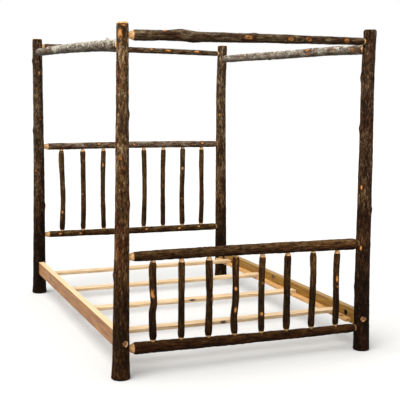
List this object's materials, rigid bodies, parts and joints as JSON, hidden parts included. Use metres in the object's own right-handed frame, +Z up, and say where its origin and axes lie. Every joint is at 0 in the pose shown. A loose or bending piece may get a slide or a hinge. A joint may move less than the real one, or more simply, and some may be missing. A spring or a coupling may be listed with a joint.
{
  "type": "four poster canopy bed",
  "caption": "Rustic four poster bed frame in bark-on round logs, with an open canopy frame, spindle head and foot panels and sawn side rails with mattress slats.",
  "frame": {"origin": "on the floor, under the middle of the bed", "axes": "+X across the bed to the right as seen from its foot, +Y from foot to head, +Z up"},
  "size_m": [1.5513, 2.1173, 1.8262],
  "materials": {
    "bark_post": "rough bark",
    "bark_rail": "rough bark",
    "grey_bark_rail": "grey bark",
    "bark_spindle": "bark",
    "pine_board": "planed",
    "pine_cleat": "planed",
    "pine_slat": "planed",
    "wood_plug": "oiled",
    "zinc_steel": "zinc plated"
  },
  "bodies": {
    "root": {"bed_bolts": "zinc_steel", "bed_nuts": "zinc_steel", "bolt_plugs": "wood_plug", "bolt_washers": "zinc_steel", "canopy_rail_foot": "bark_rail", "canopy_rail_head": "bark_rail", "canopy_rail_left": "grey_bark_rail", "canopy_rail_right": "grey_bark_rail", "cleat_left": "pine_cleat", "cleat_right": "pine_cleat", "cleat_screws": "zinc_steel", "foot_post_left": "bark_post", "foot_post_right": "bark_post", "footboard_bottom_rail": "bark_rail", "footboard_spindle_1": "bark_spindle", "footboard_spindle_2": "bark_spindle", "footboard_spindle_3": "bark_spindle", "footboard_spindle_4": "bark_spindle", "footboard_spindle_5": "bark_spindle", "footboard_spindle_6": "bark_spindle", "footboard_spindle_7": "bark_spindle", "footboard_spindle_8": "bark_spindle", "footboard_top_rail": "bark_rail", "half_washers": "zinc_steel", "head_post_left": "bark_post", "head_post_right": "bark_post", "headboard_bottom_rail": "bark_rail", "headboard_spindle_1": "bark_spindle", "headboard_spindle_2": "bark_spindle", "headboard_spindle_3": "bark_spindle", "headboard_spindle_4": "bark_spindle", "headboard_spindle_5": "bark_spindle", "headboard_spindle_6": "bark_spindle", "headboard_spindle_7": "bark_spindle", "headboard_spindle_8": "bark_spindle", "headboard_top_rail": "bark_rail", "side_rail_left": "pine_board", "side_rail_right": "pine_board", "slat_1": "pine_slat", "slat_2": "pine_slat", "slat_3": "pine_slat", "slat_4": "pine_slat", "slat_screws": "zinc_steel"}
  },
  "joints": []
}
